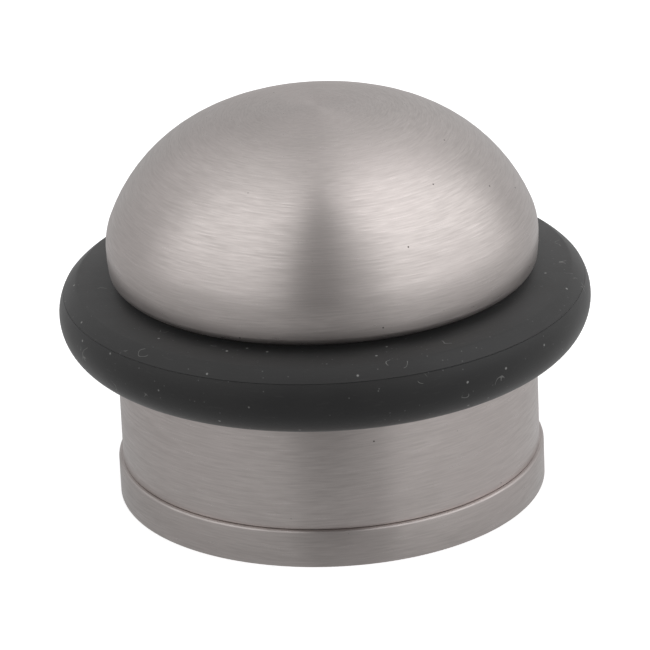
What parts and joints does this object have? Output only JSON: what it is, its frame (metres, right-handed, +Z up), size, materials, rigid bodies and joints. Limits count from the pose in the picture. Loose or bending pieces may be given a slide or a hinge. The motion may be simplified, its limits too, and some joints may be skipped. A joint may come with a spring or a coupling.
{
  "type": "floor door stop",
  "caption": "Low round floor-mounted door stop: satin metal body with a domed cap and a thick rubber bumper ring between them, on a screw-down base.",
  "frame": {"origin": "centre of the underside, on the floor", "axes": "+Z up along the stop's axis; +Y towards the grub screw, which is the back; +X to the right seen from the front"},
  "size_m": [0.05, 0.05, 0.0377],
  "materials": {
    "satin_nickel": "satin nickel plate, finely brushed round the axis",
    "bumper_rubber": "matte moulded charcoal rubber",
    "gasket_rubber": "matte black sheet rubber",
    "zinc_plated_steel": "bright zinc plate",
    "plain_steel": "blackened steel"
  },
  "bodies": {
    "base": {"floor_plate": "satin_nickel", "base_gasket": "gasket_rubber"},
    "cover": {"body_shell": "satin_nickel", "dome_cap": "satin_nickel", "clamp_bolt": "zinc_plated_steel", "spring_washer": "zinc_plated_steel", "flat_washer": "zinc_plated_steel"},
    "bumper": {"rubber_ring": "bumper_rubber"},
    "set_screw": {"grub_screw": "plain_steel"}
  },
  "joints": [
    {"name": "cover_lift", "type": "slide", "parent": "base", "child": "cover", "axis": [0, 0, 1], "range_m": [0, 0.06]},
    {"name": "ring_turn", "type": "hinge", "parent": "cover", "child": "bumper", "pos_m": [0, 0, 0.0181], "axis": [0, 0, 1], "continuous": true},
    {"name": "grub_out", "type": "slide", "parent": "cover", "child": "set_screw", "axis": [0, 1, 0], "range_m": [0, 0.0025]}
  ]
}
